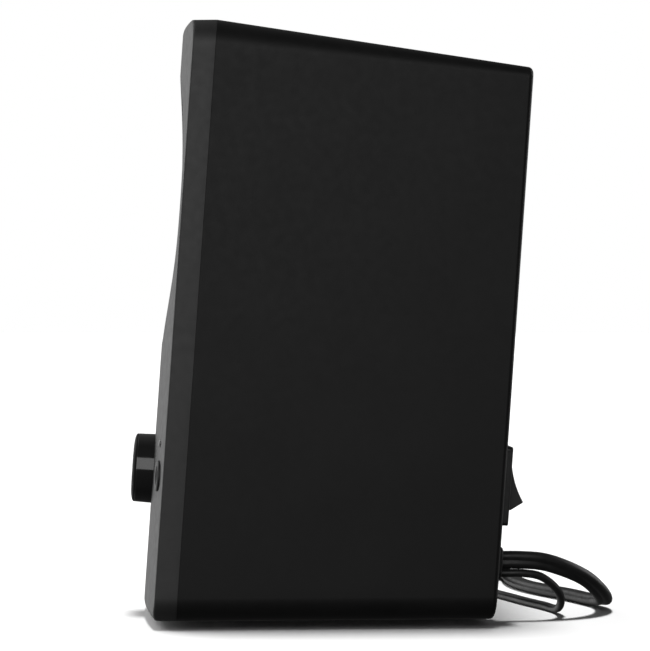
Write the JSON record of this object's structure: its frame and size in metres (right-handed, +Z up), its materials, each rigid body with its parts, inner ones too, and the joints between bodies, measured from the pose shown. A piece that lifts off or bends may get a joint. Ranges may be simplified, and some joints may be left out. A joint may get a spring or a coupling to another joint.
{
  "type": "desktop speaker",
  "caption": "Black plastic active desktop speaker leaning back on rubber feet, with a front driver, volume knob and headphone socket, and a rear rocker switch and leads.",
  "frame": {"origin": "centre of the box of the speaker without its leads, on the surface that it stands on", "axes": "+Z up, the front with the knob faces -Y, the switch and leads are at the +Y side"},
  "size_m": [0.171, 0.1337, 0.1609],
  "materials": {
    "case_plastic": "fine satin texture",
    "front_plastic": "satin",
    "gloss_black": "polished",
    "black_rubber": "matte",
    "cone_paper": "matte, pressed fibres",
    "plated_steel": "zinc plated",
    "brass_contact": "satin",
    "copper_winding": "enamelled copper wire",
    "ferrite": "matte",
    "circuit_board": "satin solder mask",
    "lamp_lens": "smoked, clear gloss"
  },
  "bodies": {
    "case": {"driver_trim_ring": "gloss_black", "driver_basket": "plated_steel", "driver_surround": "black_rubber", "driver_spider": "cone_paper", "magnet_top_plate": "plated_steel", "driver_magnet": "ferrite", "magnet_yoke": "plated_steel", "driver_screw_lower_left": "plated_steel", "driver_screw_upper_left": "plated_steel", "driver_screw_lower_right": "plated_steel", "driver_screw_upper_right": "plated_steel", "potentiometer_nut": "plated_steel", "potentiometer_body": "plated_steel", "headphone_socket_collar": "front_plastic", "indicator_lamp": "lamp_lens", "headphone_socket_body": "case_plastic", "amplifier_board": "circuit_board", "amplifier_chip": "ferrite", "heat_sink": "plated_steel", "filter_capacitor_1": "case_plastic", "filter_capacitor_2": "case_plastic", "mains_fuse": "plated_steel", "power_switch_housing": "case_plastic", "power_switch_terminal_lower": "brass_contact", "power_switch_terminal_upper": "brass_contact", "cord_bush": "black_rubber", "output_socket": "case_plastic", "front_baffle": "front_plastic", "rear_shell": "case_plastic", "transformer_core": "ferrite", "transformer_winding": "copper_winding", "transformer_strap": "plated_steel", "transformer_screw_left": "plated_steel", "transformer_screw_right": "plated_steel", "case_screw_lower_left": "plated_steel", "case_screw_lower_right": "plated_steel", "case_screw_upper_left": "plated_steel", "case_screw_upper_right": "plated_steel", "foot_front_left": "black_rubber", "foot_rear_left": "black_rubber", "foot_front_right": "black_rubber", "foot_rear_right": "black_rubber", "mains_lead": "black_rubber", "mains_lead_coil": "black_rubber", "audio_lead": "black_rubber", "audio_lead_coil": "black_rubber", "mains_plug_body": "black_rubber", "mains_plug_pin_lower": "plated_steel", "mains_plug_pin_upper": "plated_steel", "audio_plug_body": "black_rubber", "audio_plug_pin": "brass_contact"},
    "knob": {"volume_knob": "gloss_black", "potentiometer_shaft": "plated_steel"},
    "rocker": {"power_switch_rocker": "case_plastic"},
    "cone": {"driver_cone": "cone_paper", "driver_dust_cap": "cone_paper", "voice_coil": "copper_winding"}
  },
  "joints": [
    {"name": "knob_turn", "type": "hinge", "parent": "case", "child": "knob", "pos_m": [0, -0.04448, 0.03981], "axis": [0, 0.9976, -0.0689], "range_deg": [0, 280]},
    {"name": "rocker_throw", "type": "hinge", "parent": "case", "child": "rocker", "pos_m": [0.0306, 0.0437, 0.03736], "axis": [1, 0, 0], "range_deg": [-36, 0]},
    {"name": "cone_stroke", "type": "slide", "parent": "case", "child": "cone", "axis": [0, -0.9976, 0.0689], "range_m": [-0.001, 0.001], "stiffness_N_per_m": 1500}
  ]
}
